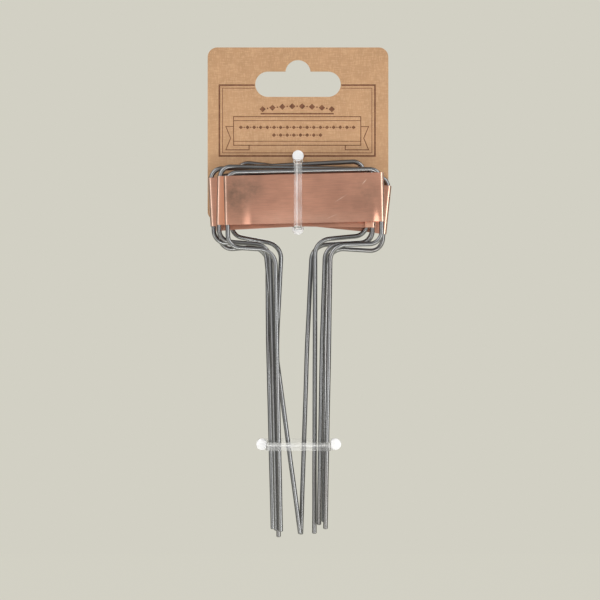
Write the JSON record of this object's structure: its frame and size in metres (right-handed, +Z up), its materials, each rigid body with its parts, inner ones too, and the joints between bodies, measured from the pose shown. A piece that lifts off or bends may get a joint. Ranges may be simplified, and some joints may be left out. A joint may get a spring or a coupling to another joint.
{
  "type": "plant label stakes on a hang card",
  "caption": "Bundle of bent-wire plant label stakes with folded copper labels, strapped by two clear ties to a kraft card with a hang slot.",
  "frame": {"origin": "where a peg bears, at the top of the hang slot's notch, at the card's mid-thickness", "axes": "+X to the right seen from the front, +Y to the back, +Z up, with the legs pointing down"},
  "size_m": [0.0687, 0.0147, 0.183],
  "materials": {
    "steel_wire": "drawn wire, satin",
    "copper": "copper sheet, satin",
    "kraft_card": "kraft board, matt",
    "clear_plastic": "clear",
    "white_plastic": "smooth"
  },
  "bodies": {
    "hang_card": {"hang_card": "kraft_card", "upper_tie_back_strap": "clear_plastic", "upper_tie_top_button": "white_plastic", "upper_tie_bottom_button": "white_plastic"},
    "upper_tie_front": {"upper_tie_front_strap": "clear_plastic"},
    "lower_tie": {"lower_tie_back_strap": "clear_plastic", "lower_tie_left_button": "white_plastic", "lower_tie_right_button": "white_plastic"},
    "lower_tie_front": {"lower_tie_front_strap": "clear_plastic"},
    "stake_1": {"stake_1_wire": "steel_wire"},
    "label_1": {"stake_1_label": "copper"},
    "stake_2": {"stake_2_wire": "steel_wire"},
    "label_2": {"stake_2_label": "copper"},
    "stake_3": {"stake_3_wire": "steel_wire"},
    "label_3": {"stake_3_label": "copper"},
    "stake_4": {"stake_4_wire": "steel_wire"},
    "label_4": {"stake_4_label": "copper"},
    "stake_5": {"stake_5_wire": "steel_wire"},
    "label_5": {"stake_5_label": "copper"}
  },
  "joints": [
    {"name": "stake_1_slide", "type": "slide", "parent": "hang_card", "child": "stake_1", "axis": [0, 0, 1], "range_m": [0, 0.0015]},
    {"name": "label_1_slide", "type": "slide", "parent": "stake_1", "child": "label_1", "axis": [-0.0227, 0, 0.9997], "range_m": [-0.0009, 0]},
    {"name": "stake_2_slide", "type": "slide", "parent": "hang_card", "child": "stake_2", "axis": [0, 0, 1], "range_m": [0, 0.001]},
    {"name": "label_2_slide", "type": "slide", "parent": "stake_2", "child": "label_2", "axis": [0.0175, 0, 0.9998], "range_m": [-0.0003, 0.0022]},
    {"name": "stake_3_slide", "type": "slide", "parent": "hang_card", "child": "stake_3", "axis": [0, 0, 1], "range_m": [0, 0.0003]},
    {"name": "label_3_slide", "type": "slide", "parent": "stake_3", "child": "label_3", "axis": [-0.0523, 0, 0.9986], "range_m": [-0.0018, 0.0019]},
    {"name": "stake_4_slide", "type": "slide", "parent": "hang_card", "child": "stake_4", "axis": [0, 0, 1], "range_m": [0, 0.0024]},
    {"name": "label_4_slide", "type": "slide", "parent": "stake_4", "child": "label_4", "axis": [-0.0523, 0, 0.9986], "range_m": [-0.0003, 0.001]},
    {"name": "stake_5_slide", "type": "slide", "parent": "hang_card", "child": "stake_5", "axis": [0, 0, 1], "range_m": [0, 0.0012]},
    {"name": "label_5_slide", "type": "slide", "parent": "stake_5", "child": "label_5", "axis": [0.1045, 0, 0.9945], "range_m": [-0.0008, 0.0016]},
    {"name": "lower_tie_slide", "type": "slide", "parent": "hang_card", "child": "lower_tie", "axis": [0, 0, 1], "range_m": [-0.036, 0.002]},
    {"name": "upper_tie_release", "type": "slide", "parent": "hang_card", "child": "upper_tie_front", "axis": [0, -1, 0], "range_m": [0, 0.02]},
    {"name": "lower_tie_release", "type": "slide", "parent": "lower_tie", "child": "lower_tie_front", "axis": [0, -1, 0], "range_m": [0, 0.02]}
  ]
}
